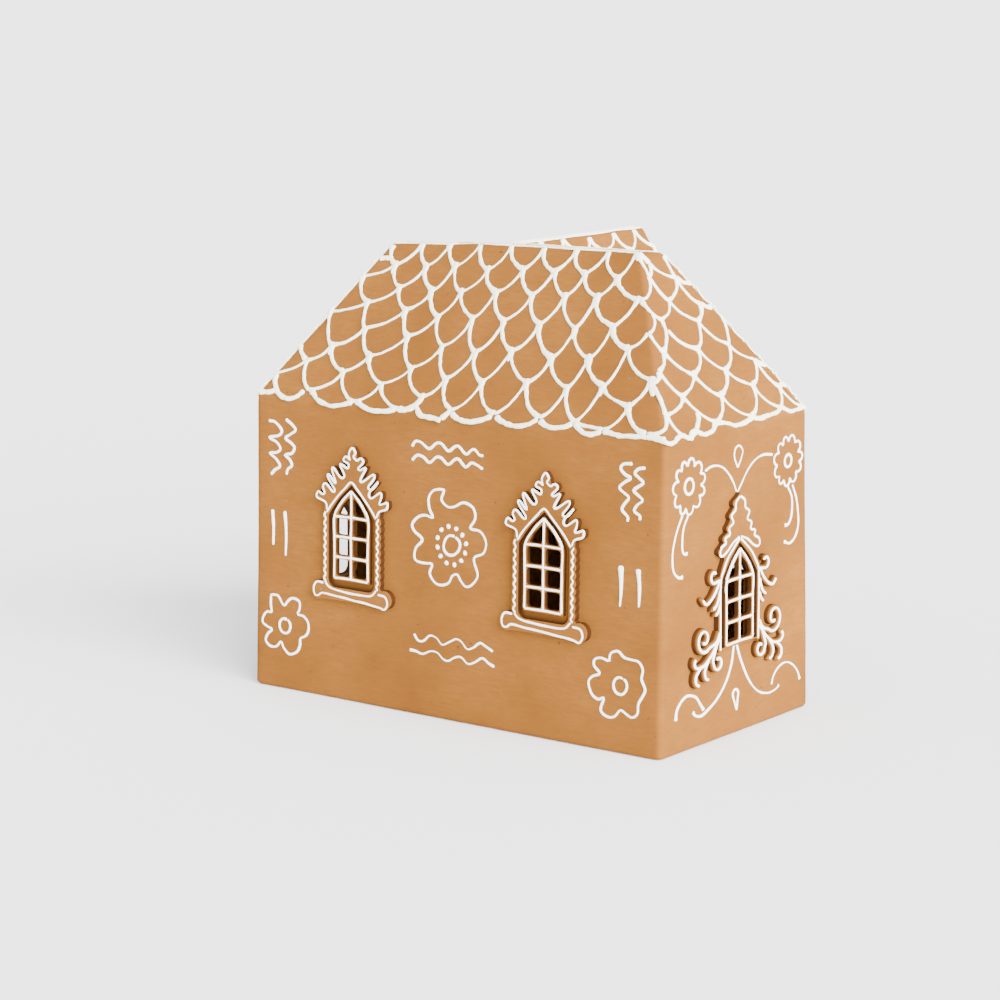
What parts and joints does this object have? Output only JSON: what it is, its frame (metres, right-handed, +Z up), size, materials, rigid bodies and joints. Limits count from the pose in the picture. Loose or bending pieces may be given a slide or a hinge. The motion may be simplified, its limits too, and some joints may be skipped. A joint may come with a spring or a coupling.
{
  "type": "gingerbread house",
  "caption": "Hollow clay house with a hipped roof, a gabled wing at the back, arched grille windows with scrolls, and white piped icing lines, open underneath",
  "frame": {"origin": "middle of the footprint's box, on the floor", "axes": "+X along the long front to the end with the visible scroll window, +Y from the long front back to the wing, +Z up"},
  "size_m": [0.2452, 0.1797, 0.2172],
  "materials": {
    "clay": "matt, unglazed gingerbread-brown clay",
    "icing": "satin white slip piped in thin raised lines"
  },
  "bodies": {
    "root": {"house": "clay"}
  },
  "joints": []
}
